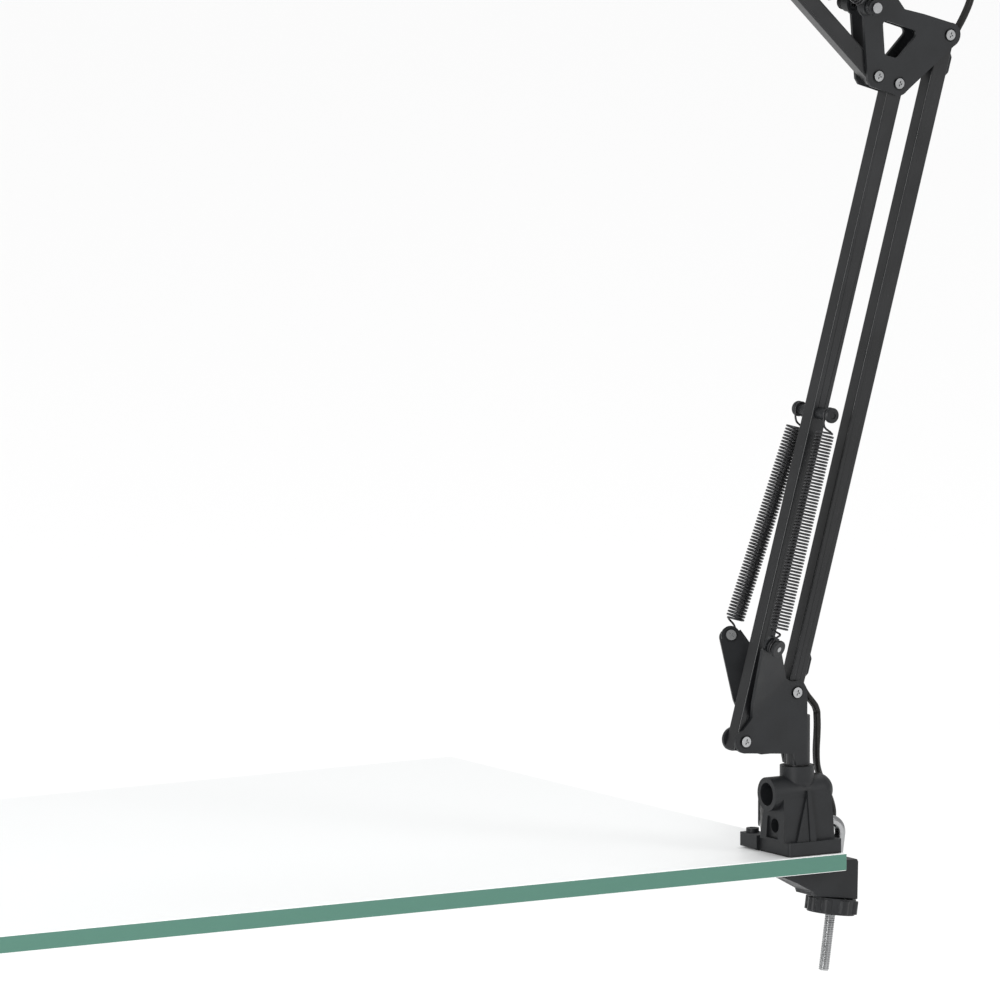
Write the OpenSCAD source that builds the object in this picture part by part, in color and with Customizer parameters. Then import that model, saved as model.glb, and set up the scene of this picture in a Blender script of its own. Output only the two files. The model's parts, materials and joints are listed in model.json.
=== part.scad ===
// Clamp-on architect desk lamp: two parallelogram arms with balance springs,
// a swivelling foot in a table clamp, and a hanging shade.
// +X points away from the table, +Z is up, and the origin is on the swivel axis
// at the face that rests on the table top.

/* [Clamp] */
// Thickness of the table top between the base and the jaw
table_t = 10; // [10:1:25]
// Length of the base plate, along X
plate_l = 35; // [31:1:38]
// Width of the base plate, along Y
plate_w = 32; // [28:1:40]
// Radius of the hooked rod
rod_r = 3; // [2.9:0.05:3.1]
// Lean of the hooked rod from the vertical
rod_tilt = 8; // [6:0.5:9]
// Radius of the clamp knob
knob_r = 15; // [12:0.5:18]

/* [Arms] */
// Distance between the pivots of each arm
arm_l = 375; // [330:5:400]
// Width of the square tube of the arms
bar_w = 10; // [9.6:0.1:10]
// Wall of the square tube
bar_wall = 1; // [0.8:0.1:1.2]
// Lean of the lower arm from the vertical
lower_lean = 15.5; // [10:0.5:18]
// Lean of the upper arm from the vertical
upper_lean = -44.5; // [-50:0.5:-40]
// Thickness of a bracket plate
plate_t = 2; // [1.8:0.1:2.4]

/* [Springs] */
// Outer radius of a balance spring
spring_r = 5.5; // [4.5:0.1:5.6]
// Radius of the spring wire
wire_r = 0.55; // [0.4:0.05:0.7]

/* [Head] */
// Radius of the mouth of the shade
mouth_r = 77.5; // [65:0.5:80]
// Length of the shade below its cap
shade_h = 140; // [125:1:150]
// Lean of the shade from the vertical
head_lean = 20; // [15:1:25]

/* [Hidden] */
$fn = 48;

// Finishes
black_plastic = "#232528";
black_paint = "#1c1d1f";
cord_black = "#1b1a18";
steel = "#c9cbcd";
brass = "#b9973f";

// Fits
gap = 0.3;
fit = 0.05;
cut = 0.1;

// Pivots, as [x, z]
p_rear = [-4.7, 90.9];
p_front = [-38.4, 65.9];
lower_dir = [sin(lower_lean), cos(lower_lean)];
upper_dir = [sin(upper_lean), cos(upper_lean)];
e_rear = p_rear + arm_l * lower_dir;
e_front = p_front + arm_l * lower_dir;
u_front = e_front + [-13.6, 5];
u_rear = u_front + [-2, 52];
h_front = u_front + arm_l * upper_dir;
h_rear = u_rear + arm_l * upper_dir;

// Bracket plates
plate_in = bar_w / 2 + 0.2;
plate_out = plate_in + plate_t;
lobe_r = 6.6;
recess_r = 3.8;
recess_d = 0.8;

// Fasteners
screw_r = 1.5;
head_r = 2.95;
head_h = 1.7;
nut_r = 3.15;
nut_h = 2.2;

// Bars
bar_over = 6;
bush_l = 11;
strip_l = 14;
strip_t = 1.6;
strip_w = 8;
strip_start = 9;
slot_w = 6;

// Springs
spool_r = 4.3;
hub_r = 3;
cross_at = 187;
lower_cross = p_front + cross_at * lower_dir;
upper_cross = u_front + cross_at * upper_dir;
cross_half = 17.5;
hook_y = 14.5;
body_inset = 10;
hook_start = 4.8;

// Swivel post and base block
post_r = 6.35;
post_bottom = 20;
post_top = 76.5;
body_half = 12.5;
taper = 7.6;
column_r = plate_out;
column_low = 50;
column_high = 77;
socket_r = 9.65;
socket_bore = post_r + fit;
socket_top = 49;
side_z = 34;
side_r = 9.5;
side_bore = 6.5;
side_left = -20;
side_depth = 12;
plate_x0 = -15;
plate_back = 25;
base_t = 7.8;
pad_t = 0.8;
hook_z = 16;

// Hooked rod: where its bend ends and its straight leg starts
bend_r = 7;
bend_x = 21.6;
bend_end = [bend_x + bend_r * cos(rod_tilt), hook_z - bend_r - bend_r * sin(rod_tilt)];
leg_l = 77;
lap = 0.4;
bend_swell = 0.03;
jaw_under = 35.2;
knob_top = jaw_under + 0.5;
knob_h = 9;
knob_lobe = 3.6;

// Crease of the bracket ears, and their spools in the plane of each ear
crease = [-34.4, 78.2];
crease_angle = 42.9;
ear_tilt = 26;
ear_spool = [32, 33];
ear_wall = 1.8;
ear_gap = 4.4;
ear_outer = 1.6;
ear_lobe = 5.4;
elbow_spool = u_front + [-8, 39.6];
elbow_spool_in = 12;
elbow_spool_out = 17;

// Head
knuckle = [h_front[0] - 31.5, 680];
housing_r = 8;
housing_low = 700;
housing_high = 726;
collar_top = 698;
pin_r = 4;
ear_in = 3.4;
cap_z = -18;
cap_h = 7;
neck_r = 32;
neck_h = 48;
skin_t = 1;
bell_steps = 14;
bell_top = cap_z - cap_h - neck_h;
bell_h = shade_h - neck_h;
bulb_top = cap_z - 46;
bulb_neck = 13;
bulb_r = 30;
bulb_len = 79;
glass_t = 1.2;

// Cord: flat twin flex
cord_w = 5.2;
cord_t = 3.2;
cord_sides = 8;

// Cord near the ends of a bar, as [along it, off its middle]
bar_ends = [[8, 3.2], [12, 2.5], [18, 1.5], [26, 0.5], [36, 0]];

// Route of the free cord from the bracket to the hank
mains_route = [
    [13.05, 0, 77.4], [13.3, 0, 71], [13.4, 0.5, 64], [14, 2, 58], [15.6, 4.5, 52],
    [18.4, 8, 46], [22.4, 11.5, 40], [26.8, 14, 34], [30.8, 16, 28.5], [34.2, 18, 23],
    [36.6, 20, 17.6], [38, 22.6, 12.4], [38.8, 26, 7.8], [39.4, 29.6, 4.6], [40, 33.2, 3.2]
];
exit_route = [
    [0.95, 0, 96.95], [1.6, 0, 95.6], [3, 0, 93], [4.8, 0, 90], [7, 0, 87], [9.6, 0, 84],
    [11.8, 0, 81.2], [13, 0, 78]
];
loop_route = [
    [97.8, 0, 444], [101.2, 0, 449], [105.2, 0, 455], [109.6, 0, 462], [113.4, 0, 470],
    [115, 0, 479], [113.8, 0, 488], [109, 0, 496], [101.5, 0, 501.5], [92, 0, 504],
    [81, 0, 503.6], [70, 0, 501], [60, 0, 498], [52, 0, 495.5], [46.4, 0, 493.6]
];
head_route = [
    [-208.85, 0, 748.9], [-209.1, 0, 750.7], [-209.3, 0, 753.4], [-210, 0.4, 757],
    [-211.4, 1.6, 762], [-213.2, 4.6, 767], [-215, 9, 769.4], [-217, 13.6, 767.6],
    [-218.5, 16.6, 761.4], [-219.5, 17.8, 752], [-220, 17.6, 740], [-220.4, 16.8, 727],
    [-221, 15.6, 714], [-222, 13.4, 702], [-223.4, 10.6, 692], [-225.4, 7, 683.6],
    [-228, 3.6, 677], [-230, 1.4, 672.4], [-231.6, 0, 667.6]
];

// Hank: a flat oval winding behind the base
hank_at = [40.8, 71.2, 0];
hank_turn = 58.1;
hank_run = 78;
hank_in = 9.7;
hank_out = 16.5;
hank_h = 15.9;
tie_w = 8;
tie_at = 14;
plug_from = 57;
plug_y = -8.5;
plug_z = 7;

// ---- Helpers -------------------------------------------------------------

arc_steps = 5;
function unit(v) = v / norm(v);

// Points of one rounded corner at b, between a and c
function corner(a, b, c, r) =
    let (u = unit(a - b), v = unit(c - b), half = acos(u * v) / 2,
         mid = b + unit(u + v) * r / sin(half),
         p = b + u * r / tan(half) - mid, q = b + v * r / tan(half) - mid,
         start = atan2(p[1], p[0]),
         sweep = ((atan2(q[1], q[0]) - start + 540) % 360) - 180)
    [for (i = [0:arc_steps]) let (t = start + sweep * i / arc_steps) mid + r * [cos(t), sin(t)]];

// A closed outline with corners [x, z, radius]
function rounded(c) =
    let (n = len(c), p = [for (k = c) [k[0], k[1]]])
    [for (i = [0:n - 1])
        each (c[i][2] == 0 ? [p[i]] : corner(p[(i + n - 1) % n], p[i], p[(i + 1) % n], c[i][2]))];

// A slab drawn in the XZ plane, from y_low, t thick
module slab(y_low, t) translate([0, y_low + t, 0]) rotate([90, 0, 0]) linear_extrude(t) children();

// A round piece along Y at a pivot
module pivot(p, y_low, t, r, fn = 48) {
    translate([p[0], y_low, p[1]]) rotate([-90, 0, 0]) cylinder(r = r, h = t, $fn = fn);
}

module along(p, lean) translate([p[0], 0, p[1]]) rotate([0, lean, 0]) children();

module between(a, b) {
    d = b - a;
    translate(a) rotate([0, acos(d[2] / norm(d)), atan2(d[1], d[0])]) children();
}

// Both mirrored sides of the lamp's plane
module both_sides() {
    children();
    mirror([0, 1, 0]) children();
}

module screw(p) {
    under = plate_out - recess_d;
    pivot(p, -under, 2 * under + nut_h, screw_r, 24);
    difference() {
        pivot(p, -under - head_h, head_h, head_r, 36);
        for (a = [0, 90])
            translate([p[0], -under - head_h, p[1]]) rotate([0, a + 20, 0])
                cube([3.2, 1.6, 0.7], center = true);
    }
}

module nut(p) {
    difference() {
        pivot(p, plate_out - recess_d, nut_h, nut_r, 6);
        pivot(p, plate_out - recess_d - cut, nut_h + 2 * cut, screw_r + fit, 24);
    }
}

// Bores and outer recesses for a pivot screw through both plates
module screw_cuts(points) {
    for (p = points) {
        pivot(p, -plate_out - 1, 2 * plate_out + 2, screw_r + fit, 24);
        pivot(p, -plate_out - 1, recess_d + 1, recess_r);
        pivot(p, plate_out - recess_d, recess_d + 1, recess_r);
    }
}

module spool(y_in, y_out, bore) {
    rotate([-90, 0, 0]) rotate_extrude() polygon([
        [bore, y_in], [spool_r, y_in], [spool_r, y_in + 1], [hub_r, y_in + 2],
        [hub_r, y_out - 2], [spool_r, y_out - 1], [spool_r, y_out], [bore, y_out]]);
}

// Ring of a flat cord's section: across is the wide way, up the thin way
function cord_ring(c, across, up) =
    [for (i = [0:cord_sides - 1]) let (a = 360 * (i + 0.5) / cord_sides)
        c + across * cord_w / 2 * 1.04 * cos(a) + up * cord_t / 2 * 1.04 * sin(a)];

module flat_tube(route) {
    n = len(route);
    rings = [for (i = [0:n - 1])
        let (d = unit(route[min(i + 1, n - 1)] - route[max(i - 1, 0)]),
             across = unit([0, 1, 0] - d * d[1]))
        each cord_ring(route[i], across, cross(d, across))];
    m = cord_sides;
    sides = [for (i = [0:n - 2]) for (j = [0:m - 1]) let (k = (j + 1) % m)
        [i * m + j, i * m + k, (i + 1) * m + k, (i + 1) * m + j]];
    ends = [[for (j = [m - 1:-1:0]) j], [for (j = [0:m - 1]) (n - 1) * m + j]];
    polyhedron(points = rings, faces = concat(sides, ends), convexity = 8);
}

// ---- Base and clamp ------------------------------------------------------

module plate_outline() {
    x1 = plate_x0 + plate_l;
    y = plate_w / 2;
    polygon(rounded([[plate_x0, -y, 2], [x1, -y, 2], [x1, y, 2], [plate_x0, y, 1]]));
    polygon(rounded([[plate_x0, 0, 0], [plate_x0 + 10, 0, 0], [plate_x0 + 10, plate_back, 3], [plate_x0, plate_back, 5]]));
}

module base_block() color(black_plastic) difference() {
    union() {
        translate([0, 0, pad_t]) linear_extrude(base_t - pad_t) plate_outline();
        // raised rim of the plate
        translate([-12, -12.5, base_t - cut]) cube([27, 25, 1.3]);
        // tapered body under the side socket
        intersection() {
            translate([-20, 0, 0]) rotate([90, 0, 90]) linear_extrude(40)
                polygon([[-body_half, base_t - cut], [body_half, base_t - cut], [9, side_z], [-9, side_z]]);
            slab(-20, 40) polygon([[-16.5, base_t - cut], [17, base_t - cut], [17, side_z], [-14.5, side_z]]);
        }
        // flaring centre rib, front and back
        both_sides() translate([0, -body_half, base_t]) rotate([-taper, 0, 0]) {
            slab(-1.6, 4) polygon([[-9, -1], [3, -1], [1.2, 24], [-0.6, 24]]);
            slab(-2.4, 4) polygon([[-0.4, -1], [3.6, -1], [2, 28], [-0.2, 28]]);
        }
        // upright socket for the swivel post, on an inverted cone
        translate([0, 0, 40]) cylinder(r = socket_r, h = socket_top - 40);
        translate([0, 0, 25]) cylinder(r1 = 5, r2 = socket_r, h = 15 + cut);
        // side socket with a domed end
        translate([side_left, 0, side_z]) rotate([0, 90, 0]) cylinder(r = side_r, h = 12.5 - side_left);
        translate([12.5, 0, side_z]) sphere(r = side_r);
        // lug beside the plate
        translate([-17, plate_w / 2 - 1, pad_t]) cube([10, 17, base_t]);
        translate([-12, 27, base_t]) cylinder(r = 3.6, h = 3.2);
    }
    translate([0, 0, post_bottom]) cylinder(r = socket_bore, h = 60);
    translate([side_left - cut, 0, side_z]) rotate([0, 90, 0]) cylinder(r = side_bore, h = side_depth + cut);
    translate([-30, 0, hook_z]) rotate([0, 90, 0]) cylinder(r = rod_r + fit, h = 60, $fn = 32);
    translate([-30, 0, hook_z]) rotate([0, 90, 0]) cylinder(r = 4, h = 22, $fn = 32);
    // shallow recess in the left end, between the two side walls
    translate([-20, -6, 9]) cube([5.5, 12, 12]);
    translate([-12, 27, base_t - 2]) cylinder(r = 1.6, h = 6, $fn = 24);
}

module base_pad() color("#2b2b2b") linear_extrude(pad_t) plate_outline();

module rod_frame() translate([bend_end[0], 0, bend_end[1]]) rotate([0, rod_tilt, 0]) children();

module clamp_rod() color(steel) {
    translate([-5, 0, hook_z]) rotate([0, 90, 0]) cylinder(r = rod_r, h = bend_x + 5 + lap, $fn = 36);
    translate([bend_x, 0, hook_z - bend_r]) rotate([90, 0, 0]) rotate([0, 0, -rod_tilt])
        rotate_extrude(angle = 90 + rod_tilt, $fn = 72) translate([bend_r, 0]) circle(r = rod_r + bend_swell, $fn = 36);
    rod_frame() translate([0, 0, -leg_l]) cylinder(r = rod_r, h = leg_l + lap, $fn = 36);
}

module clamp_jaw() color(black_plastic) difference() {
    union() {
        intersection() {
            slab(-10, 20) polygon([
                [-16, -table_t], [21.9, -table_t], [22.3, -table_t + 4.5], [33.6, -table_t + 4.5],
                [34.4, -table_t + 3], [33.8, -table_t - 24], [9, -table_t - 24], [5, -table_t - 12],
                [-6, -table_t - 6], [-16, -table_t - 1.6]]);
            rod_frame() translate([-60, -20, -jaw_under]) cube([90, 40, 40]);
        }
        rod_frame() translate([0, 0, -jaw_under]) cylinder(r = 8, h = 6);
    }
    rod_frame() translate([0, 0, -45]) cylinder(r = rod_r + gap + fit, h = 40);
}

module clamp_knob() color(black_plastic) rod_frame() translate([0, 0, -knob_top - knob_h]) difference() {
    union() {
        cylinder(r = knob_r - 1.6, h = knob_h);
        for (a = [0:45:315]) rotate([0, 0, a])
            translate([knob_r - knob_lobe, 0, 0.8]) cylinder(r = knob_lobe, h = knob_h - 1.6, $fn = 32);
    }
    translate([0, 0, -cut]) cylinder(r = 3.6, h = knob_h + 1);
    translate([0, 0, -cut]) cylinder(r = 5.8, h = 4.1 + cut, $fn = 6);
    translate([0, 0, knob_h - 2]) rotate_extrude() polygon([[8.2, 0], [11.4, 0], [12.2, 3], [7.6, 3]]);
}

module knob_nut() color(steel) rod_frame() translate([0, 0, -knob_top - knob_h]) difference() {
    cylinder(r = 5.7, h = 4, $fn = 6);
    translate([0, 0, -cut]) cylinder(r = rod_r + fit, h = 5, $fn = 36);
}

// ---- Lower bracket -------------------------------------------------------

module swivel_post() color("#17181a") {
    translate([0, 0, post_bottom]) cylinder(r = post_r, h = post_top - post_bottom);
}

// Frame of the front ear: X along its crease, Z up the ear, -Y outwards
module ear_frame() translate([crease[0], -plate_in, crease[1]])
    rotate([0, -crease_angle, 0]) rotate([ear_tilt, 0, 0]) children();

// A point of the front ear's frame, w outwards from its inner face
function ear_point(u, v, w) =
    let (k = v * cos(ear_tilt) - w * sin(ear_tilt))
    [crease[0] + u * cos(crease_angle) - k * sin(crease_angle),
     -plate_in - w * cos(ear_tilt) - v * sin(ear_tilt),
     crease[1] + u * sin(crease_angle) + k * cos(crease_angle)];

module ear() ear_frame() difference() {
    union() {
        slab(-ear_wall, ear_wall) {
            polygon([[0, -0.2], [30.6, -0.2], [38.2, 31], [26, 36], [5, 9]]);
            translate(ear_spool) circle(r = ear_lobe);
        }
    }
    pivot(ear_spool, -12, 14, screw_r + fit, 24);
    pivot(ear_spool, -0.6, 2, recess_r);
}

module lower_outline() {
    polygon([[-39.2, 59.4], [-44.9, 67.2], [-35, 77.6], [-34.4, 78.8], [-12, 99.6], [-9, 97.5], [-2, 97],
             [2.2, 91], [2.2, column_high], [0, column_high], [0, column_low], [-5, column_low], [-6.4, 56.6]]);
    translate(p_front) circle(r = lobe_r);
    translate(p_rear) circle(r = lobe_r);
}

module lower_bracket_half() difference() {
    union() {
        slab(-plate_out, plate_t) lower_outline();
        // half-round column over the post
        translate([0, 0, column_low]) intersection() {
            cylinder(r = column_r, h = column_high - column_low);
            translate([-6, -20, 0]) cube([40, 20, 60]);
        }
        // floor and web between the plates
        translate([-27, -plate_in - cut, 57.6]) cube([20, plate_in, 2.4]);
        translate([-21, -plate_in - cut, 58]) cube([2, plate_in, 14]);
        ear();
    }
    screw_cuts([p_rear, p_front]);
    translate([0, 0, 40]) cylinder(r = post_r + fit, h = post_top - 40);
}

module lower_bracket_front() color(black_plastic) lower_bracket_half();
module lower_bracket_rear() color(black_plastic) mirror([0, 1, 0]) lower_bracket_half();

module lower_screws() color(steel) {
    screw(p_rear);
    screw(p_front);
    both_sides() ear_frame() ear_screw();
}

module lower_nuts() color(steel) {
    nut(p_rear);
    nut(p_front);
}

module lower_spools() color(black_plastic) both_sides() ear_frame()
    translate([ear_spool[0], 0, ear_spool[1]]) mirror([0, 1, 0]) {
        spool(ear_wall + fit, ear_wall + ear_gap, screw_r + fit);
        // end disc that keeps the spring's hook on the spool
        difference() {
            pivot([0, 0], ear_wall + ear_gap - cut, ear_outer + cut, 5);
            pivot([0, 0], 0, 20, screw_r + fit, 24);
        }
    }

// Screw of an ear's spool: its head is on the ear's inner face
module ear_screw() {
    reach = ear_wall + ear_gap + ear_outer;
    pivot(ear_spool, -reach, reach - 0.6, screw_r, 24);
    difference() {
        pivot(ear_spool, -0.6, head_h, head_r, 36);
        for (a = [0, 90])
            translate([ear_spool[0], head_h - 0.6, ear_spool[1]]) rotate([0, a, 0])
                cube([3.2, 1.6, 0.7], center = true);
    }
}

// ---- Bars ----------------------------------------------------------------

// A square tube, over_low and over_high past its pivots, with a cord slot at each end
module bar(p, lean, over_low, over_high, slots, pin_at) along(p, lean) difference() {
    h = bar_w / 2;
    inner = h - bar_wall;
    translate([0, 0, -over_low]) linear_extrude(arm_l + over_low + over_high) difference() {
        polygon(rounded([[-h, -h, 1], [h, -h, 1], [h, h, 1], [-h, h, 1]]));
        square(2 * inner, center = true);
    }
    for (z = [0, arm_l]) pivot([0, z], -bar_w, 2 * bar_w, screw_r + fit, 24);
    if (pin_at > 0) pivot([0, pin_at], -bar_w, 2 * bar_w, 2, 32);
    if (slots)
        for (z = [-0.5, arm_l - strip_start - strip_l])
            translate([2, -slot_w / 2, z]) cube([6, slot_w, strip_start + strip_l + 0.5]);
}

module bushes(p, lean) along(p, lean) {
    inner = bar_w / 2 - bar_wall - 0.05;
    for (end = [-bush_l / 2, arm_l - bush_l / 2]) translate([0, 0, end + (end < 0 ? 0.2 : 2.6)]) difference() {
        translate([-inner, -inner, 0]) cube([2 * inner, 2 * inner, bush_l - 2.8]);
        translate([0, 0, (end < 0 ? bush_l / 2 - 0.2 : bush_l / 2 - 2.6)]) rotate([90, 0, 0])
            cylinder(r = screw_r + fit, h = 20, center = true, $fn = 24);
    }
}

module cord_strips(p, lean) along(p, lean) {
    h = bar_w / 2;
    for (z = [strip_start, arm_l - strip_start - strip_l])
        translate([h, 0, z]) rotate([90, 0, 0]) linear_extrude(strip_w, center = true)
            polygon([[0, 0], [strip_t, 2.5], [strip_t, strip_l - 2.5], [0, strip_l]]);
}

module cross_pin(p) {
    pivot(p, -cross_half, 2 * cross_half, 2, 32);
    translate([p[0], 0, p[1]]) both_sides() rotate([90, 0, 0]) rotate_extrude() polygon([
        [2 - fit, bar_w / 2 + fit], [3.4, bar_w / 2 + fit], [3.4, 9.5], [2.7, 12.5], [2.7, 15.2],
        [spool_r - 0.6, 15.6], [spool_r, 16.2], [spool_r, cross_half], [spool_r - 0.6, cross_half + 0.6],
        [2 - fit, cross_half + 0.6]]);
}

// Plain sleeve in place of a coil, with a hook at each end
module spring(a, b) between(a, b) {
    l = norm(b - a);
    difference() {
        translate([0, 0, body_inset]) cylinder(r = spring_r, h = l - 2 * body_inset, $fn = 24);
        translate([0, 0, body_inset + 1]) cylinder(r = spring_r - 2 * wire_r, h = l - 2 * body_inset - 2, $fn = 24);
    }
    for (z = [hook_start, l - body_inset - cut])
        translate([0, 0, z]) cylinder(r = wire_r, h = body_inset - hook_start + cut, $fn = 16);
}

low_a = ear_point(ear_spool[0], ear_spool[1], ear_wall + ear_gap / 2);
low_b = [lower_cross[0], -hook_y, lower_cross[1]];
up_a = [elbow_spool[0], -hook_y, elbow_spool[1]];
up_b = [upper_cross[0], -hook_y, upper_cross[1]];

module lower_spring_front() color("#202022") spring(low_a, low_b);
module lower_spring_rear() color("#202022") mirror([0, 1, 0]) spring(low_a, low_b);
module upper_spring_front() color("#202022") spring(up_a, up_b);
module upper_spring_rear() color("#202022") mirror([0, 1, 0]) spring(up_a, up_b);

module lower_rear_bar() color(black_paint) bar(p_rear, lower_lean, 5, 3, true, 0);
module lower_rear_bushes() color("#3a3a3a") bushes(p_rear, lower_lean);
module lower_cord_strips() color(black_plastic) cord_strips(p_rear, lower_lean);
module lower_front_bar() color(black_paint) bar(p_front, lower_lean, bar_over, 3, false, cross_at);
module lower_front_bushes() color("#3a3a3a") bushes(p_front, lower_lean);
module lower_cross_pin() color(black_plastic) cross_pin(lower_cross);
module upper_front_bar() color(black_paint) bar(u_front, upper_lean, 3, 3, false, cross_at);
module upper_front_bushes() color("#3a3a3a") bushes(u_front, upper_lean);
module upper_cross_pin() color(black_plastic) cross_pin(upper_cross);
module upper_rear_bar() color(black_paint) bar(u_rear, upper_lean, 3, 3, true, 0);
module upper_rear_bushes() color("#3a3a3a") bushes(u_rear, upper_lean);
module upper_cord_strips() color(black_plastic) cord_strips(u_rear, upper_lean);

// Cord inside a bar: leaves it on the side that carries the strips
function in_bar(p, d, t, side) = [p[0] + t * d[0] + side * d[1], 0, p[1] + t * d[1] - side * d[0]];
function bar_route(p, d) = concat(
    [for (e = bar_ends) in_bar(p, d, e[0], e[1])],
    [for (i = [1:9]) in_bar(p, d, 36 + (arm_l - 72) * i / 10, 0)],
    [for (i = [4:-1:0]) in_bar(p, d, arm_l - bar_ends[i][0], bar_ends[i][1])]);

module cord_lower_run() color(cord_black) flat_tube(bar_route(p_rear, lower_dir));
module cord_upper_run() color(cord_black) flat_tube(bar_route(u_rear, upper_dir));

// ---- Elbow ---------------------------------------------------------------

module elbow_plate() difference() {
    union() {
        slab(-plate_out, plate_t) difference() {
            union() {
                polygon([[41.3, 430], [43.4, 426.6], [59.6, 420.9], [65.8, 421.8], [99.4, 446.8],
                         [98.4, 458.4], [78.5, 465], [65.5, 468.6], [52.6, 486], [39.4, 484.4], [38.2, 468]]);
                for (p = [e_rear, e_front, u_front, u_rear, elbow_spool + [2, 0]]) translate(p) circle(r = 6.9);
            }
            polygon(rounded([[50.9, 463.7, 2], [75.2, 455.2, 2.4], [61, 441.3, 2.4], [52.4, 443.8, 2]]));
        }
        // stand-off under the spring spool
        pivot(elbow_spool, -elbow_spool_in, elbow_spool_in - plate_in, 5);
    }
    screw_cuts([e_rear, e_front, u_front, u_rear]);
    pivot(elbow_spool, -20, 20, screw_r + fit, 24);
    pivot(elbow_spool, -plate_in - 1, 2, recess_r);
}

module elbow_plate_front() color(black_plastic) elbow_plate();
module elbow_plate_rear() color(black_plastic) mirror([0, 1, 0]) elbow_plate();

module elbow_screws() color(steel) {
    for (p = [e_rear, e_front, u_front, u_rear]) screw(p);
    both_sides() {
        pivot(elbow_spool, -elbow_spool_out, elbow_spool_out - plate_in, screw_r, 24);
        pivot(elbow_spool, -elbow_spool_out - head_h, head_h, head_r, 36);
    }
}
module elbow_nuts() color(steel) for (p = [e_rear, e_front, u_front, u_rear]) nut(p);

module elbow_spacer() color(black_plastic) pivot([81.5, 457.2], -plate_in, 2 * plate_in, 3.6);

module elbow_spools() color(black_plastic) both_sides()
    translate([elbow_spool[0], 0, elbow_spool[1]]) mirror([0, 1, 0])
        spool(elbow_spool_in + fit, elbow_spool_out, screw_r + fit);

// ---- Head ----------------------------------------------------------------

module head_plate() difference() {
    slab(-plate_out, plate_t) {
        polygon([h_front + [6.4, -1.6], h_rear + [6.8, 0], h_rear + [-4.5, 5.2],
                 [knuckle[0] - 5, housing_high + 3], [knuckle[0] - 10, housing_high - 2],
                 [knuckle[0] - 10, housing_low + 2], [knuckle[0] - 6, housing_low - 1.5], h_front + [-1, -6.8]]);
        for (p = [h_front, h_rear]) translate(p) circle(r = 6.9);
    }
    screw_cuts([h_front, h_rear]);
}

module head_plate_front() color(black_plastic) head_plate();
module head_plate_rear() color(black_plastic) mirror([0, 1, 0]) head_plate();

module head_screws() color(steel) for (p = [h_front, h_rear]) screw(p);
module head_nuts() color(steel) for (p = [h_front, h_rear]) nut(p);

module head_housing() color(black_plastic) translate([knuckle[0], 0, housing_low]) difference() {
    intersection() {
        cylinder(r = housing_r, h = housing_high - housing_low);
        translate([-20, -plate_in, 0]) cube([40, 2 * plate_in, 60]);
    }
    translate([0, 0, -1]) cylinder(r = pin_r + fit, h = 60);
}

module head_knuckle() color(steel) translate([knuckle[0], 0, 0]) difference() {
    union() {
        translate([0, 0, collar_top - 1]) cylinder(r = pin_r, h = housing_high - collar_top + 3);
        translate([0, 0, housing_high + gap]) cylinder(r1 = 4.9, r2 = 4.4, h = 2.4);
        translate([0, 0, collar_top - 4]) cylinder(r = 5, h = 4);
        translate([-6, -ear_in + gap, knuckle[1]]) cube([12, 2 * (ear_in - gap), collar_top - 2 - knuckle[1]]);
        pivot([0, knuckle[1]], -ear_in + gap, 2 * (ear_in - gap), 7);
    }
    pivot([0, knuckle[1]], -20, 40, 3 + fit, 36);
}

module head_frame() translate([knuckle[0], 0, knuckle[1]]) rotate([0, head_lean, 0]) children();

function bell(k) = [for (i = [0:bell_steps]) let (t = i / bell_steps)
    [neck_r - k + (mouth_r - neck_r) * pow(sin(90 * t), 0.85), bell_top - bell_h * t]];

module shade() color(black_paint) head_frame() difference() {
    rotate_extrude($fn = 96) {
        polygon(concat(
            [[neck_r, cap_z - cap_h + 3]], bell(0),
            [for (a = [60:-30:-180]) [mouth_r - 0.3, cap_z - cap_h - shade_h - 1] + 1.3 * [cos(a), sin(a)]],
            [for (i = [bell_steps:-1:0]) bell(skin_t)[i]], [[neck_r - skin_t, cap_z - cap_h + 3]]));
    }
    for (a = [15:30:345]) rotate([0, 0, a]) translate([neck_r - 5, -1.5, cap_z - cap_h - 30])
        cube([10, 3, 16]);
}

module shade_cap() color(black_plastic) head_frame() difference() {
    union() {
        rotate_extrude($fn = 72) polygon([
            [0, cap_z], [26, cap_z], [neck_r + 1.6, cap_z - 3], [neck_r + 1.6, cap_z - cap_h - 4],
            [neck_r + fit, cap_z - cap_h - 4], [neck_r + fit, cap_z - 3.9], [25, cap_z - 3], [0, cap_z - 3]]);
        both_sides() {
            pivot([0, 0], -ear_in - 3, 3, 7);
            translate([-7, -ear_in - 3, cap_z - 1]) cube([14, 3, -cap_z + 1]);
        }
        // neck that carries the lamp holder
        translate([0, 0, cap_z - 12]) cylinder(r = 9, h = 10);
    }
    pivot([0, 0], -20, 40, 3 + fit, 36);
    translate([-18, 0, cap_z - 10]) cylinder(r = 5.3, h = 20);
    translate([18, 0, cap_z - 10]) cylinder(r = 4, h = 20);
}

module tilt_bolt() color(steel) head_frame() {
    pivot([0, 0], -ear_in - 3, 2 * ear_in + 12, 3, 36);
    pivot([0, 0], -ear_in - 6, 3, 5, 6);
}

module tilt_wing_nut() color(black_plastic) head_frame() difference() {
    union() {
        pivot([0, 0], ear_in + 3, 7, 6);
        translate([-14, ear_in + 4.5, -2.4]) cube([28, 4, 4.8]);
        for (x = [-14, 14]) pivot([x, 0], ear_in + 4.5, 4, 4);
    }
    pivot([0, 0], -1, 30, 3 + fit, 36);
}

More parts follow.
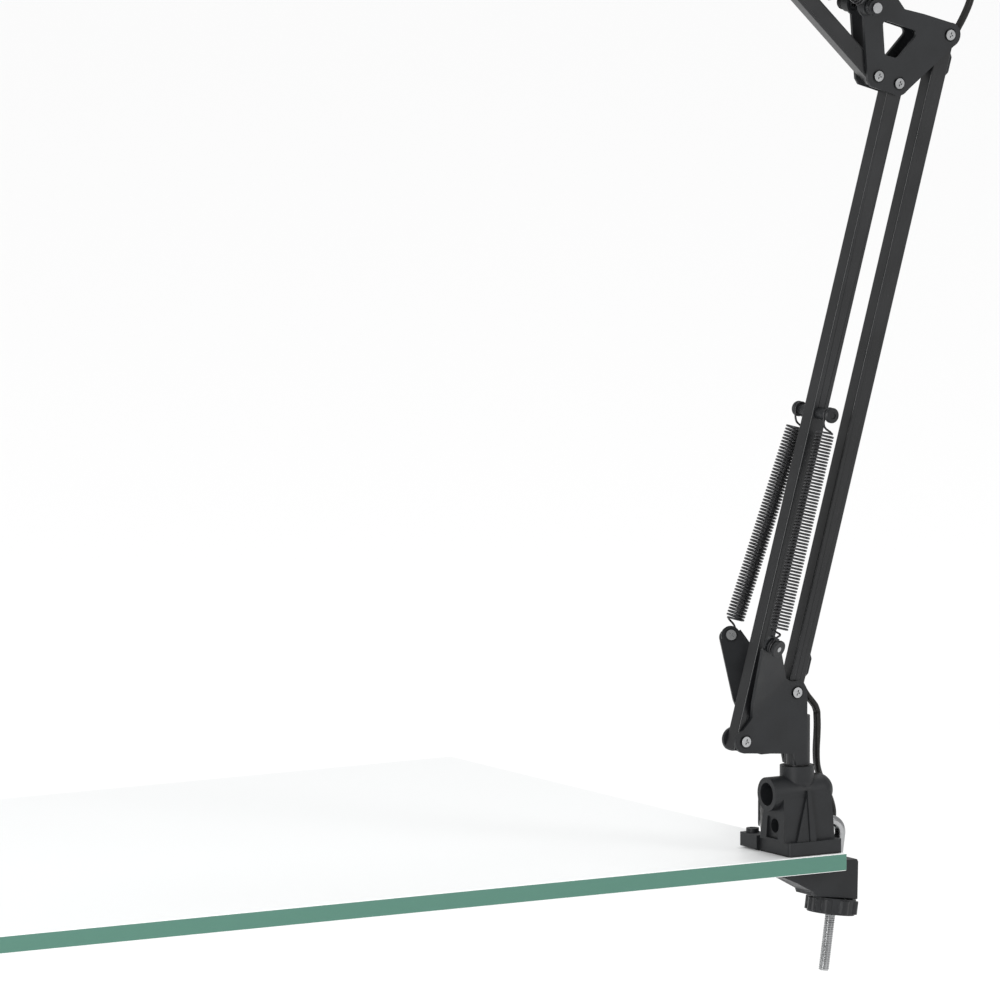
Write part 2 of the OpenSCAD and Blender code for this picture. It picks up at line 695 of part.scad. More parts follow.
module cord_gland() color(black_plastic) head_frame() translate([18, 0, 0]) difference() {
    union() {
        translate([0, 0, cap_z - 6]) cylinder(r = 4 - fit, h = 8);
        translate([0, 0, cap_z]) cylinder(r1 = 6, r2 = 4.4, h = 7);
    }
    translate([0, 0, cap_z - 12]) linear_extrude(30) square([3.8, 5.8], center = true);
}

module lamp_holder() color("#2c2c2e") head_frame() difference() {
    rotate_extrude() polygon([
        [0, cap_z - 12], [15, cap_z - 12], [19, cap_z - 16], [20, cap_z - 46], [14.6, cap_z - 46],
        [14.6, cap_z - 17], [0, cap_z - 17]]);
}

module holder_sleeve() color(brass) head_frame() rotate_extrude() polygon([
    [13.7, cap_z - 20], [14.5, cap_z - 20], [14.5, cap_z - 44], [13.7, cap_z - 44]]);

module bulb_base() color(steel) head_frame() rotate_extrude() polygon([
    [0, cap_z - 18], [4, cap_z - 18], [5, cap_z - 20], [10.5, cap_z - 23], [13.2, cap_z - 25],
    [13.2, bulb_top], [12.2, bulb_top], [12.2, cap_z - 25.6], [10, cap_z - 24], [4.6, cap_z - 21],
    [0, cap_z - 21]]);

// Outline of the bulb from its neck to its tip, k inside the outer skin
function bulb(k) = concat(
    [[bulb_neck - k, bulb_top]],
    [for (i = [1:6]) let (t = i / 7)
        [bulb_neck - k + (bulb_r - bulb_neck) * (1 - cos(180 * t)) / 2, bulb_top - (bulb_len - bulb_r) * t]],
    [for (i = [0:8]) let (a = i * 90 / 8)
        [(bulb_r - k) * cos(a), bulb_top - bulb_len + bulb_r - (bulb_r - k) * sin(a)]]);

module bulb_glass() color("#f2efe6") head_frame() rotate_extrude($fn = 60) {
    inner = bulb(glass_t);
    n = len(inner);
    polygon(concat(bulb(0), [for (i = [1:n]) inner[n - i]]));
}

module switch_button() color("#3a3a3c") head_frame() translate([-18, 0, 0]) rotate_extrude() polygon([
    [0, cap_z + 4.6], [3.6, cap_z + 4.6], [4.9, cap_z + 3.4], [4.9, cap_z - 3.1], [6.2, cap_z - 3.5],
    [6.2, cap_z - 5], [0, cap_z - 5]]);

// ---- Cords ---------------------------------------------------------------

module cord_elbow_loop() color(cord_black) flat_tube(loop_route);
module cord_head_loop() color(cord_black) flat_tube(head_route);
module cord_bar_exit() color(cord_black) flat_tube(exit_route);
module mains_cord() color(cord_black) flat_tube(mains_route);

module hank_frame() translate(hank_at) rotate([0, 0, hank_turn]) children();

module stadium(r) {
    square([hank_run, 2 * r], center = true);
    for (x = [-1, 1]) translate([x * hank_run / 2, 0]) circle(r = r);
}

module mains_hank() color(cord_black) hank_frame() linear_extrude(hank_h) difference() {
    stadium(hank_out);
    stadium(hank_in);
}

module hank_tie() color(black_plastic) hank_frame() translate([tie_at - tie_w / 2, 0, 0])
    rotate([90, 0, 90])
    linear_extrude(tie_w) difference() {
        polygon(rounded([[-hank_out - 1, 0, 1], [hank_out + 1, 0, 1],
                         [hank_out + 1, hank_h + 1, 3], [-hank_out - 1, hank_h + 1, 3]]));
        translate([-hank_out - 0.05, -1]) square([2 * hank_out + 0.1, hank_h + 1.05]);
    }

module mains_plug() color(black_plastic) hank_frame() translate([plug_from, plug_y, plug_z]) {
    rotate([0, 90, 0]) cylinder(r1 = 3.4, r2 = 5.5, h = 12);
    translate([12, 0, 0]) rotate([90, 0, 90]) linear_extrude(24)
        polygon(rounded([[-13, -6.9, 5], [13, -6.9, 5], [13, 6.9, 5], [-13, 6.9, 5]]));
    for (y = [-9.5, 9.5]) translate([36, y, 0]) rotate([0, 90, 0]) cylinder(r = 2, h = 19, $fn = 24);
}

base_block();
base_pad();
clamp_rod();
clamp_jaw();
clamp_knob();
knob_nut();
swivel_post();
lower_bracket_front();
lower_bracket_rear();
lower_screws();
lower_nuts();
lower_spools();
lower_rear_bar();
lower_rear_bushes();
lower_cord_strips();
cord_lower_run();
lower_front_bar();
lower_front_bushes();
lower_cross_pin();
lower_spring_front();
lower_spring_rear();
elbow_plate_front();
elbow_plate_rear();
elbow_screws();
elbow_nuts();
elbow_spacer();
elbow_spools();
cord_elbow_loop();
upper_front_bar();
upper_front_bushes();
upper_cross_pin();
upper_spring_front();
upper_spring_rear();
upper_rear_bar();
upper_rear_bushes();
upper_cord_strips();
cord_upper_run();
head_plate_front();
head_plate_rear();
head_screws();
head_nuts();
head_housing();
head_knuckle();
shade();
shade_cap();
tilt_bolt();
tilt_wing_nut();
cord_gland();
cord_head_loop();
lamp_holder();
holder_sleeve();
bulb_glass();
bulb_base();
switch_button();
cord_bar_exit();
mains_cord();
mains_hank();
hank_tie();
mains_plug();
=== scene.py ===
import json
import math

import bmesh
import bpy
import numpy as np
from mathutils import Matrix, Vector


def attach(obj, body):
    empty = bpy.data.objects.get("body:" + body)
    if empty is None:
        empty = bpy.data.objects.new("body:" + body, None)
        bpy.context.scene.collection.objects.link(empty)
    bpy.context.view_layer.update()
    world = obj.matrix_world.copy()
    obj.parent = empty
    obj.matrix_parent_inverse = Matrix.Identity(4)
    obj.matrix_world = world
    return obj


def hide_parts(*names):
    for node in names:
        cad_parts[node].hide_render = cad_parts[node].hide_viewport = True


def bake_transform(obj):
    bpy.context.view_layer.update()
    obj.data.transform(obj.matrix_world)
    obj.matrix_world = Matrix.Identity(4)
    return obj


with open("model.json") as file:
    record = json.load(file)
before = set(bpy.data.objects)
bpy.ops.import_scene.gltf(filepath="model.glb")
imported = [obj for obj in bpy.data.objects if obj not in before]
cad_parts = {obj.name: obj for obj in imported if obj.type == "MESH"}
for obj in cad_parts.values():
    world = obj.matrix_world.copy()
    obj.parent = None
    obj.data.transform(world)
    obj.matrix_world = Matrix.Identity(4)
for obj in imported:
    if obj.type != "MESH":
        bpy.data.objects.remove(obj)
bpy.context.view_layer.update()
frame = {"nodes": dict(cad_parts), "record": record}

MM = 0.001
Y = np.array((0.0, 1.0, 0.0))
Z = np.array((0.0, 0.0, 1.0))


# ---- Camera ----------------------------------------------------------------

def look(obj, place, target):
    obj.location = place
    obj.rotation_mode = "QUATERNION"
    obj.rotation_quaternion = (Vector(target) - Vector(place)).to_track_quat("-Z", "Y")


camera_data = bpy.data.cameras.new("view_camera")
camera_data.sensor_width = 36.0
camera_data.lens = 778.7
camera_data.clip_start, camera_data.clip_end = 0.5, 60.0
camera = bpy.data.objects.new("view_camera", camera_data)
bpy.context.collection.objects.link(camera)
look(camera, (-6.4188, -10.0073, 1.8793), (-0.1434, 0.0821, 0.1985))
bpy.context.scene.camera = camera


# ---- Materials -------------------------------------------------------------

colours = {m["slot"]: list(m["base_color"])[:3] for m in frame["record"]["materials"]}


def material(name, colour, rough, metallic=0.0, grain=0.8, bump=0.12, deep=0.05,
             patch=18.0, spread=0.10, tint=0.25, coat=0.0, stretch=(1, 1, 1), specular=0.5):
    """A finish with a fine grain (mm), soft patches (mm) and colour and gloss that wander a little."""
    mat = bpy.data.materials.new(name)
    mat.use_nodes = True
    nodes, links = mat.node_tree.nodes, mat.node_tree.links
    shader = nodes["Principled BSDF"]
    shader.inputs["Metallic"].default_value = metallic
    shader.inputs["Specular IOR Level"].default_value = specular
    shader.inputs["Coat Weight"].default_value = coat
    shader.inputs["Coat Roughness"].default_value = 0.25
    where = nodes.new("ShaderNodeTexCoord")
    scale = nodes.new("ShaderNodeMapping")
    scale.inputs["Scale"].default_value = stretch
    links.new(where.outputs["Object"], scale.inputs["Vector"])

    def noise(size, detail):
        n = nodes.new("ShaderNodeTexNoise")
        n.inputs["Scale"].default_value = 1000.0 / size
        n.inputs["Detail"].default_value = detail
        links.new(scale.outputs["Vector"], n.inputs["Vector"])
        return n

    fine, broad = noise(grain, 3.0), noise(patch, 4.0)
    ramp = nodes.new("ShaderNodeValToRGB")
    ramp.color_ramp.elements[0].position = 0.3
    ramp.color_ramp.elements[1].position = 0.72
    ramp.color_ramp.elements[0].color = [c * (1 - tint) for c in colour] + [1]
    ramp.color_ramp.elements[1].color = [min(1, c * (1 + tint)) for c in colour] + [1]
    links.new(broad.outputs["Fac"], ramp.inputs["Fac"])
    links.new(ramp.outputs["Color"], shader.inputs["Base Color"])
    both = nodes.new("ShaderNodeMath")
    both.operation = "MULTIPLY_ADD"
    both.inputs[1].default_value = 0.35
    links.new(fine.outputs["Fac"], both.inputs[0])
    links.new(broad.outputs["Fac"], both.inputs[2])
    gloss = nodes.new("ShaderNodeMapRange")
    gloss.inputs["From Min"].default_value = 0.45
    gloss.inputs["From Max"].default_value = 0.9
    gloss.inputs["To Min"].default_value = max(0.03, rough - spread)
    gloss.inputs["To Max"].default_value = min(1.0, rough + spread)
    links.new(both.outputs["Value"], gloss.inputs["Value"])
    links.new(gloss.outputs["Result"], shader.inputs["Roughness"])
    lift = nodes.new("ShaderNodeBump")
    lift.inputs["Strength"].default_value = bump
    lift.inputs["Distance"].default_value = deep * MM
    links.new(fine.outputs["Fac"], lift.inputs["Height"])
    links.new(lift.outputs["Normal"], shader.inputs["Normal"])
    return mat


LOOKS = {
    "black_plastic": dict(rough=0.46, grain=0.7, bump=0.5, deep=0.06, patch=14),
    "black_paint": dict(rough=0.34, grain=1.1, bump=0.25, deep=0.03, patch=30, spread=0.07, coat=0.15),
    "shade_paint": dict(rough=0.36, grain=1.3, bump=0.25, deep=0.04, patch=35, spread=0.07, coat=0.2),
    "rubber": dict(rough=0.82, grain=0.5, bump=0.5, deep=0.08, patch=9, specular=0.3),
    "zinc": dict(rough=0.2, metallic=1.0, grain=0.4, bump=0.12, deep=0.02, patch=6, tint=0.1),
    "black_steel": dict(rough=0.33, metallic=0.4, grain=0.5, bump=0.15, deep=0.02, patch=12),
    "spring_steel": dict(rough=0.27, metallic=0.55, grain=0.3, bump=0.1, deep=0.01, patch=5, tint=0.35),
    "bush_plastic": dict(rough=0.5, grain=0.6, bump=0.3, deep=0.04, patch=8),
    "cord_black": dict(rough=0.52, grain=0.45, bump=0.35, deep=0.04, patch=12, tint=0.3),
    "holder_plastic": dict(rough=0.28, grain=0.9, bump=0.15, deep=0.02, patch=15, coat=0.3),
    "brass": dict(rough=0.3, metallic=1.0, grain=0.5, bump=0.12, deep=0.02, patch=8, tint=0.15),
    "nickel": dict(rough=0.24, metallic=1.0, grain=0.5, bump=0.1, deep=0.02, patch=8, tint=0.08),
    "glass": dict(rough=0.3, grain=0.6, bump=0.08, deep=0.02, patch=20, tint=0.02, coat=0.5),
    "switch_grey": dict(rough=0.3, grain=0.6, bump=0.2, deep=0.03, patch=6, coat=0.2),
}
# The share of each record colour kept under the bright lights of the stage
DEEPER = {"black_plastic": 0.45, "black_paint": 0.45, "shade_paint": 0.5, "cord_black": 0.45,
          "rubber": 0.6, "zinc": 0.5, "nickel": 0.7}
for slot, share in DEEPER.items():
    colours[slot] = [c * share for c in colours[slot]]
    if slot not in ("zinc", "nickel"):
        LOOKS[slot]["specular"] = 0.28
finish = {slot: material(slot, colours[slot], **look_of) for slot, look_of in LOOKS.items()}
inside_white = material("shade_inside_white", (0.86, 0.86, 0.83), 0.42, grain=1.3, bump=0.2,
                        deep=0.03, patch=40, tint=0.02, coat=0.15)


# ---- CAD nodes: edges, shading and finish ----------------------------------

# Edge rounding in mm
EDGE = {"black_plastic": 0.35, "black_paint": 0.2, "zinc": 0.18, "black_steel": 0.4,
        "shade_paint": 0.15, "holder_plastic": 0.4, "switch_grey": 0.5, "nickel": 0.2}
OTHER_EDGE = 0.25
SHARP = math.radians(38)
SAME_POINT = 2e-6


def soften(obj, edge):
    mesh = obj.data
    if "custom_normal" in mesh.attributes:
        mesh.attributes.remove(mesh.attributes["custom_normal"])
    mesh.polygons.foreach_set("use_smooth", [True] * len(mesh.polygons))
    join = obj.modifiers.new("join", "WELD")
    join.merge_threshold = SAME_POINT
    bevel = obj.modifiers.new("edge", "BEVEL")
    bevel.width = edge * MM
    bevel.segments = 2
    bevel.limit_method = "ANGLE"
    bevel.angle_limit = SHARP
    bevel.harden_normals = True
    bevel.use_clamp_overlap = True
    even = obj.modifiers.new("even", "WEIGHTED_NORMAL")
    even.keep_sharp = True


HEAD_TOP = np.array((-246.127, 0.0, 680.0)) * MM
HEAD_LEAN = math.radians(20)
HEAD_AXIS = np.array((math.sin(HEAD_LEAN), 0.0, math.cos(HEAD_LEAN)))

for part in frame["record"]["subparts"]:
    obj = frame["nodes"][part["node"]]
    slot = part["material_slot"]
    obj.data.materials.clear()
    obj.data.materials.append(finish[slot])
    soften(obj, EDGE.get(slot, OTHER_EDGE))
    if part["node"] == "shade":
        obj.data.materials.append(inside_white)
        for face in obj.data.polygons:
            out = np.array(face.center) - HEAD_TOP
            out -= HEAD_AXIS * (out @ HEAD_AXIS)
            if np.array(face.normal) @ out < 0:
                face.material_index = 1


# ---- Helpers for swept pieces ----------------------------------------------

def unit(v):
    return v / np.linalg.norm(v)


def smooth(points, step):
    """Points about step apart on one smooth curve through points (Catmull-Rom)."""
    p = np.array(points, float)
    p = np.vstack([2 * p[0] - p[1], p, 2 * p[-1] - p[-2]])
    made = []
    for a, b, c, d in zip(p[:-3], p[1:-2], p[2:-1], p[3:]):
        n = max(2, int(math.ceil(np.linalg.norm(c - b) / step)))
        for t in np.arange(n) / n:
            made.append(0.5 * (2 * b + (c - a) * t + (2 * a - 5 * b + 4 * c - d) * t * t
                               + (3 * b - a - 3 * c + d) * t ** 3))
    made.append(p[-2])
    return np.array(made)


def directions(path):
    d = np.gradient(path, axis=0)
    return d / np.linalg.norm(d, axis=1)[:, None]


def held_frames(path, hint):
    """The wide direction at each point, as near to hint as the path allows."""
    return np.array([unit(hint - d * (d @ hint)) for d in directions(path)])


def carried_frames(path, first):
    """The wide direction at each point, carried along the path without twist."""
    d = directions(path)
    w = [unit(first - d[0] * (first @ d[0]))]
    for a, b in zip(d[:-1], d[1:]):
        v = w[-1] - b * (w[-1] @ b)
        w.append(unit(v))
    return np.array(w)


def sweep(name, path, wide, section, body=None, slot=None):
    """A closed tube. section(i, length) gives the outline at ring i as (wide, thin) pairs."""
    d = directions(path)
    thin = np.cross(d, wide)
    along = np.concatenate([[0], np.cumsum(np.linalg.norm(np.diff(path, axis=0), axis=1))])
    rings = [path[i] + np.outer(s[:, 0], wide[i]) + np.outer(s[:, 1], thin[i])
             for i in range(len(path)) for s in [section(i, along[i])]]
    m = len(rings[0])
    faces = [(i * m + j, i * m + (j + 1) % m, (i + 1) * m + (j + 1) % m, (i + 1) * m + j)
             for i in range(len(path) - 1) for j in range(m)]
    faces.append(tuple(range(m - 1, -1, -1)))
    faces.append(tuple((len(path) - 1) * m + j for j in range(m)))
    mesh = bpy.data.meshes.new(name)
    mesh.from_pydata(np.vstack(rings).tolist(), [], faces)
    mesh.update()
    mesh.polygons.foreach_set("use_smooth", [True] * (len(faces) - 2) + [False] * 2)
    obj = bpy.data.objects.new(name, mesh)
    bpy.context.collection.objects.link(obj)
    obj.data.materials.append(finish[slot])
    if body:
        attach(obj, body)
    return obj


# ---- Cords: flat twin flex -------------------------------------------------

CORD_W, CORD_T = 5.2 * MM, 3.2 * MM
GROOVE = math.radians(118)


def flex_outline(scale=1.0, n=7):
    """Two round cores side by side, with a shallow groove between them."""
    r = CORD_T / 2 * scale
    c = CORD_W / 2 * scale - r
    right = [(c + r * math.cos(a), r * math.sin(a))
             for a in np.linspace(-GROOVE, GROOVE, n)]
    left = [(-x, -y) for x, y in right]
    return np.array(right + left)


FLEX = flex_outline()


def flex(name, path, wide):
    return sweep(name, path, wide, lambda i, s: FLEX, slot="cord_black")


mains_route = np.array([
    (13, 0, 78), (13.3, 0, 71), (13.4, 0.5, 64), (14, 2, 58), (15.6, 4.5, 52),
    (18.4, 8, 46), (22.4, 11.5, 40), (26.8, 14, 34), (30.8, 16, 28.5), (34.2, 18, 23),
    (36.6, 20, 17.6), (38, 22.6, 12.4), (38.8, 26, 7.8), (39.4, 29.6, 4.6), (40, 33.2, 3.2),
]) * MM
exit_route = np.array([
    (0.5, 0, 97.8), (1.6, 0, 95.6), (3, 0, 93), (4.8, 0, 90), (7, 0, 87), (9.6, 0, 84),
    (11.8, 0, 81.2), (13, 0, 78),
]) * MM
loop_route = np.array([
    (97.8, 0, 444), (101.2, 0, 449), (105.2, 0, 455), (109.6, 0, 462), (113.4, 0, 470),
    (115, 0, 479), (113.8, 0, 488), (109, 0, 496), (101.5, 0, 501.5), (92, 0, 504),
    (81, 0, 503.6), (70, 0, 501), (60, 0, 498), (52, 0, 495.5), (46.4, 0, 493.6),
]) * MM
head_route = np.array([
    (-208.7, 0, 748.3), (-209.1, 0, 750.7), (-209.3, 0, 753.4), (-210, 0.4, 757),
    (-211.4, 1.6, 762), (-213.2, 4.6, 767), (-215, 9, 769.4), (-217, 13.6, 767.6),
    (-218.5, 16.6, 761.4), (-219.5, 17.8, 752), (-220, 17.6, 740), (-220.4, 16.8, 727),
    (-221, 15.6, 714), (-222, 13.4, 702), (-223.4, 10.6, 692), (-225.4, 7, 683.6),
    (-228, 3.6, 677), (-230, 1.4, 672.4), (-231.6, 0, 667.6),
]) * MM

# Hank: six turns on edge, wound as a flat oval round a middle line
HANK_AT = np.array((40.8, 71.2, 0.0)) * MM
HANK_TURN = math.radians(58.1)
RUN, INNER, OUTER = 78 * MM, 11.4 * MM, 14.8 * MM
LEVELS = [2.6 * MM, 7.9 * MM, 13.2 * MM]
MIDDLE = (INNER + OUTER) / 2
ROUND = 2 * RUN + 2 * math.pi * MIDDLE
JOIN = 30 * MM


def hank_point(x, y, z):
    c, s = math.cos(HANK_TURN), math.sin(HANK_TURN)
    return HANK_AT + np.array((x * c - y * s, x * s + y * c, z))


def ease(t):
    t = min(1.0, max(0.0, t))
    return t * t * (3 - 2 * t)


def on_track(q, r, z):
    """A point r outside the middle line, q along one turn from the near end of the first side."""
    q, bend = q % ROUND, math.pi * MIDDLE
    if q < RUN:
        return hank_point(-RUN / 2 + q, -r, z)
    q -= RUN
    if q < bend:
        a = -math.pi / 2 + q / MIDDLE
        return hank_point(RUN / 2 + r * math.cos(a), r * math.sin(a), z)
    q -= bend
    if q < RUN:
        return hank_point(RUN / 2 - q, r, z)
    a = math.pi / 2 + (q - RUN) / MIDDLE
    return hank_point(-RUN / 2 + r * math.cos(a), r * math.sin(a), z)


# Each turn's seat: how far outside the middle line, and its height
SEATS = [(OUTER, LEVELS[0]), (INNER, LEVELS[0]), (INNER, LEVELS[1]),
         (INNER, LEVELS[2]), (OUTER, LEVELS[2]), (OUTER, LEVELS[1])]
# Where each turn starts to move to the next seat, and over what length, in mm
ZONES = [(209, 18), (151, 20), (131.5, 19), (113, 18), (92, 20)]


def wound_point(q):
    """A point q along the winding: each turn moves to the seat that the next one has left."""
    turn = min(5, int(q // ROUND))
    here, there = SEATS[turn], SEATS[min(5, turn + 1)]
    t = 0.0
    if turn < 5:
        start, span = ZONES[turn]
        t = ease((q - turn * ROUND - start * MM) / (span * MM))
    return on_track(JOIN + q, here[0] + (there[0] - here[0]) * t, here[1] + (there[1] - here[1]) * t)


JOIN_OUT, JOIN_IN = 18.6, 14.8
joining = [on_track(q * MM, (JOIN_OUT + (JOIN_IN - JOIN_OUT) * ease((q - 11) / 19)) * MM,
                    (2.9 - 0.3 * ease(q / 11)) * MM) for q in (11, 14, 17, 20, 23, 26)]
# The end leaves the last turn at this angle and swings back in line with the plug
LEAVE_AT, SWING = 40, 12 * MM
a = math.radians(LEAVE_AT)
leave = 5 * ROUND + RUN - JOIN + MIDDLE * a
winding = [wound_point(q) for q in np.arange(0, leave, 3 * MM)]
lead = [wound_point(leave)]
for turned in (10, 20, 30, 40):
    left = math.radians(LEAVE_AT - turned)
    lead.append(hank_point(RUN / 2 + OUTER * math.sin(a) + SWING * (math.sin(a) - math.sin(left)),
                           -OUTER * math.cos(a) + SWING * (math.cos(left) - math.cos(a)),
                           LEVELS[1] - 0.9 * MM * ease(turned / LEAVE_AT)))
lead += [hank_point(x * MM, -8.5 * MM, 7 * MM) for x in (60, 64)]
down = smooth(mains_route, 2.5 * MM)
rest = smooth([mains_route[-1]] + joining + winding + lead, 3 * MM)[1:]
mains_path = np.vstack([down, rest])
on_edge = held_frames(mains_path, Z)
carried = carried_frames(mains_path, Y)
travel = directions(mains_path)
flat_end = len(down) + 4
offset = math.atan2(np.cross(carried[flat_end], on_edge[flat_end]) @ travel[flat_end],
                    carried[flat_end] @ on_edge[flat_end])
if offset > math.pi / 2:
    offset -= math.pi
if offset < -math.pi / 2:
    offset += math.pi
mains_wide = []
for i, (c, e, d) in enumerate(zip(carried, on_edge, travel)):
    if i <= flat_end:
        turn = offset * ease((i / flat_end - 0.35) / 0.65)
        mains_wide.append(c * math.cos(turn) + np.cross(d, c) * math.sin(turn))
    else:
        mains_wide.append(e if e @ mains_wide[-1] > 0 else -e)
mains_wide = np.array(mains_wide)
mains = flex("mains_flex", mains_path, mains_wide)
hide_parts("mains_cord", "mains_hank")
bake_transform(mains)
print("mains cord, m:", round(float(np.linalg.norm(np.diff(mains_path, axis=0), axis=1).sum()), 4))

exit_path = smooth(exit_route, 1.5 * MM)
exit_bend = flex("bar_exit_flex", exit_path, held_frames(exit_path, Y))
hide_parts("cord_bar_exit")
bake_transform(exit_bend)


def split_flex(name, route, cuts, hint):
    """One cord as several pieces that share their end rings. cuts are (last route point, body, body)."""
    path = smooth(route, 1.5 * MM)
    wide = held_frames(path, hint)
    first, made = 0, []
    for k, (last, a, b) in enumerate(cuts):
        stop = int(np.argmin(np.linalg.norm(path - route[last], axis=1)))
        piece = flex("%s_%d" % (name, k + 1), path[first:stop + 1], wide[first:stop + 1])
        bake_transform(piece)
        made.append(piece)
        first = stop
    return made


elbow_loop = split_flex("elbow_flex", loop_route, [
    (7, "lower_rear_bar", "elbow"), (14, "elbow", "upper_rear_bar")], Y)
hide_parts("cord_elbow_loop")
head_loop = split_flex("head_flex", head_route, [
    (6, "upper_rear_bar", "head_bracket"), (13, "head_bracket", "head_knuckle"),
    (18, "head_knuckle", "head")], Y)
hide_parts("cord_head_loop")


# ---- Balance springs -------------------------------------------------------

WIRE, COIL, HOOK = 0.6 * MM, 4.9 * MM, 3.75 * MM
PITCH = 1.8 * MM
HOOK_GAP, COIL_INSET = 4.8 * MM, 10.2 * MM


def wire_outline(n=7):
    a = np.arange(n) * 2 * math.pi / n
    return np.stack([np.cos(a), np.sin(a)], 1) * WIRE


def spring(name, node, low_pin):
    """An open-wound coil with a looped hook at each end, on the line of its CAD sleeve."""
    co = np.array([v.co for v in frame["nodes"][node].data.vertices], float)
    mid = co.mean(0)
    axis = np.linalg.svd(co - mid, full_matrices=False)[2][0]
    if axis[2] < 0:
        axis = -axis
    t = (co - mid) @ axis
    ends = [mid + axis * (t.min() - HOOK_GAP), mid + axis * (t.max() + HOOK_GAP)]
    pins = [unit(np.array(low_pin, float)), Y]

    def loop(at, toward, pin):
        """From the coil's end inwards: sideways to the hook's eye, then round the pin."""
        side = unit(np.cross(pin, toward))
        face = unit(toward - pin * (toward @ pin))
        eye = [at + HOOK * (side * math.cos(a) - face * math.sin(a))
               for a in np.radians(np.arange(-30, 262, 14))]
        neck = [at + face * 7.6 * MM + side * 0.4 * MM, at + face * 5.2 * MM + side * 2.2 * MM]
        return neck + eye

    length = np.linalg.norm(ends[1] - ends[0])
    first, last = COIL_INSET, length - COIL_INSET
    turns = (last - first) / PITCH
    across = unit(np.cross(axis, Y))
    other = np.cross(axis, across)
    coil = [ends[0] + axis * (first + PITCH * s)
            + COIL * (across * math.cos(2 * math.pi * s) + other * math.sin(2 * math.pi * s))
            for s in np.arange(0, turns, 1 / 16)]
    low_hook = loop(ends[0], axis, pins[0])[::-1]
    high_hook = loop(ends[1], -axis, pins[1])
    low_join = [ends[0] + axis * 9.0 * MM + (across * 0.35 - other * 0.5) * COIL]
    a = 2 * math.pi * (turns + 0.12)
    high_join = [ends[1] - axis * 9.0 * MM
                 + 0.6 * COIL * (across * math.cos(a) + other * math.sin(a))]
    path = np.vstack([smooth(low_hook + low_join + [coil[0]], 0.8 * MM)[:-1], coil,
                      smooth([coil[-1]] + high_join + high_hook, 0.8 * MM)[1:]])
    ring = wire_outline()
    obj = sweep(name, path, carried_frames(path, axis + 0.3 * across), lambda i, s: ring,
                slot="spring_steel")
    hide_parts(node)
    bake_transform(obj)


# The line of each ear's spool
EAR_PIN_FRONT, EAR_PIN_REAR = (0.298, -0.899, -0.321), (0.298, 0.899, -0.321)
spring("lower_spring_front_coil", "lower_spring_front", EAR_PIN_FRONT)
spring("lower_spring_rear_coil", "lower_spring_rear", EAR_PIN_REAR)
spring("upper_spring_front_coil", "upper_spring_front", Y)
spring("upper_spring_rear_coil", "upper_spring_rear", Y)


# ---- Hooked and threaded rod -----------------------------------------------

ROD, TILT, BEND = 3.0 * MM, math.radians(8), 7.0 * MM
HOOK_Z, BEND_X = 16 * MM, 21.6 * MM
flat_leg = [(x * MM, 0, HOOK_Z) for x in np.linspace(-5, BEND_X / MM, 8)]
curve = [(BEND_X + BEND * math.sin(a), 0, HOOK_Z - BEND + BEND * math.cos(a))
         for a in np.linspace(0, math.pi / 2 + TILT, 22)[1:]]
leg_from = np.array(curve[-1])
leg_way = np.array((-math.sin(TILT), 0.0, -math.cos(TILT)))
THREAD_FROM, LEG, THREAD_PITCH, THREAD_DEPTH = 14 * MM, 77 * MM, 1.0 * MM, 0.42 * MM
STEPS, SIDES = 7, 28
plain = [leg_from + leg_way * d * MM for d in np.arange(2, 14, 2)]
cut_leg = [leg_from + leg_way * d for d in np.arange(THREAD_FROM, LEG + 1e-9, THREAD_PITCH / STEPS)]
rod_path = np.array(flat_leg + curve + plain + cut_leg)
thread_start = len(rod_path) - len(cut_leg)
around = np.arange(SIDES) * 2 * math.pi / SIDES


def rod_section(i, s):
    radius = np.full(SIDES, ROD)
    if i >= thread_start:
        d = (i - thread_start) * THREAD_PITCH / STEPS
        wave = np.abs(((d / THREAD_PITCH - around / (2 * math.pi)) % 1.0) - 0.5) * 2
        fade = min(1.0, d / (2 * MM))
        radius = ROD - THREAD_DEPTH * wave * fade
    left = len(rod_path) - 1 - i
    radius = radius - 0.5 * MM * max(0.0, 1 - left / 4)
    if i == 0:
        radius = radius - 0.4 * MM
    return np.stack([radius * np.cos(around), radius * np.sin(around)], 1)


rod = sweep("hooked_rod", rod_path, held_frames(rod_path, Y), rod_section, body="base", slot="zinc")
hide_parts("clamp_rod")


# ---- Stage: floor, table top and light -------------------------------------

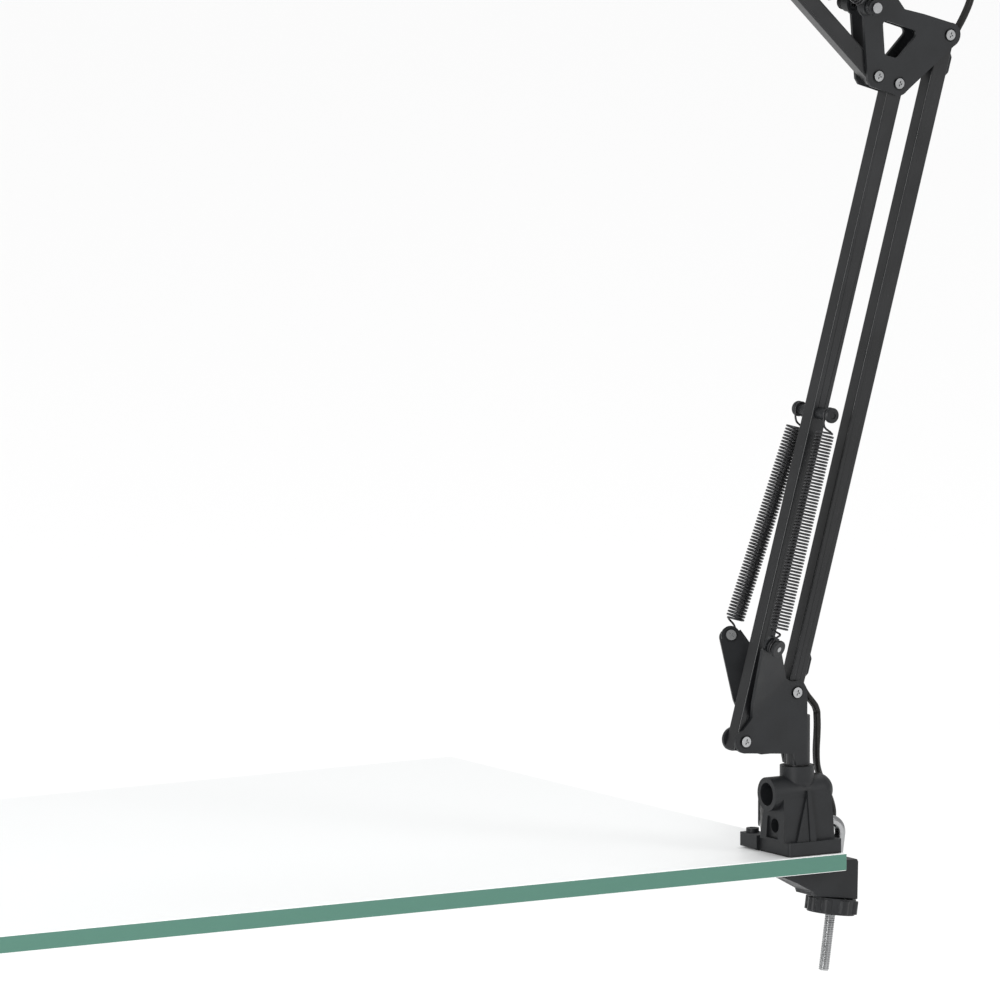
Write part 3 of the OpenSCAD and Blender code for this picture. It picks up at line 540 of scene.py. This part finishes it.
def plain_material(name, colour, rough):
    mat = bpy.data.materials.new(name)
    mat.use_nodes = True
    shader = mat.node_tree.nodes["Principled BSDF"]
    shader.inputs["Base Color"].default_value = (*colour, 1)
    shader.inputs["Roughness"].default_value = rough
    shader.inputs["Specular IOR Level"].default_value = 0.2
    return mat


def block(name, low, high, edge, mat):
    bm = bmesh.new()
    bmesh.ops.create_cube(bm, size=1.0)
    for v in bm.verts:
        v.co = [(a + b) / 2 + (b - a) * c for a, b, c in zip(low, high, v.co)]
    if edge:
        bmesh.ops.bevel(bm, geom=list(bm.edges), offset=edge, segments=3, affect="EDGES", profile=0.5)
    mesh = bpy.data.meshes.new(name)
    bm.to_mesh(mesh)
    bm.free()
    obj = bpy.data.objects.new(name, mesh)
    bpy.context.collection.objects.link(obj)
    mesh.materials.append(mat)
    return obj


block("floor", (-30, -30, -0.22), (30, 30, -0.2), 0,
      plain_material("floor_white", (0.96, 0.96, 0.96), 0.9))
table = block("table_top", (-0.53, -0.0185, -0.01), (0.0214, 0.40, -0.0001), 0.0008,
              plain_material("table_pale", (0.9, 0.91, 0.91), 0.35))
table.data.materials.append(plain_material("table_edge", (0.085, 0.2, 0.155), 0.25))
for face in table.data.polygons:
    face.material_index = 1 if abs(face.normal.z) < 0.5 else 0

world = bpy.data.worlds.new("studio")
world.use_nodes = True
world.node_tree.nodes["Background"].inputs["Color"].default_value = (1, 1, 1, 1)
world.node_tree.nodes["Background"].inputs["Strength"].default_value = 0.55
bpy.context.scene.world = world
bpy.context.scene.view_settings.view_transform = "Standard"


def area(name, place, target, size, power):
    data = bpy.data.lights.new(name, "AREA")
    data.shape = "RECTANGLE"
    data.size, data.size_y = size
    data.energy = power
    light = bpy.data.objects.new(name, data)
    bpy.context.collection.objects.link(light)
    look(light, place, target)


area("strip", (-2.3, -1.4, 0.9), (0, 0, 0.3), (0.45, 1.8), 42)
area("front", (1.2, -2.4, 1.2), (0, 0, 0.3), (0.8, 1.4), 16)
sun_data = bpy.data.lights.new("sky_panel", "SUN")
sun_data.energy = 1.5
sun_data.angle = math.radians(50)
sun = bpy.data.objects.new("sky_panel", sun_data)
bpy.context.collection.objects.link(sun)
look(sun, (0.5, 0.8, 3.0), (0, 0, 0))
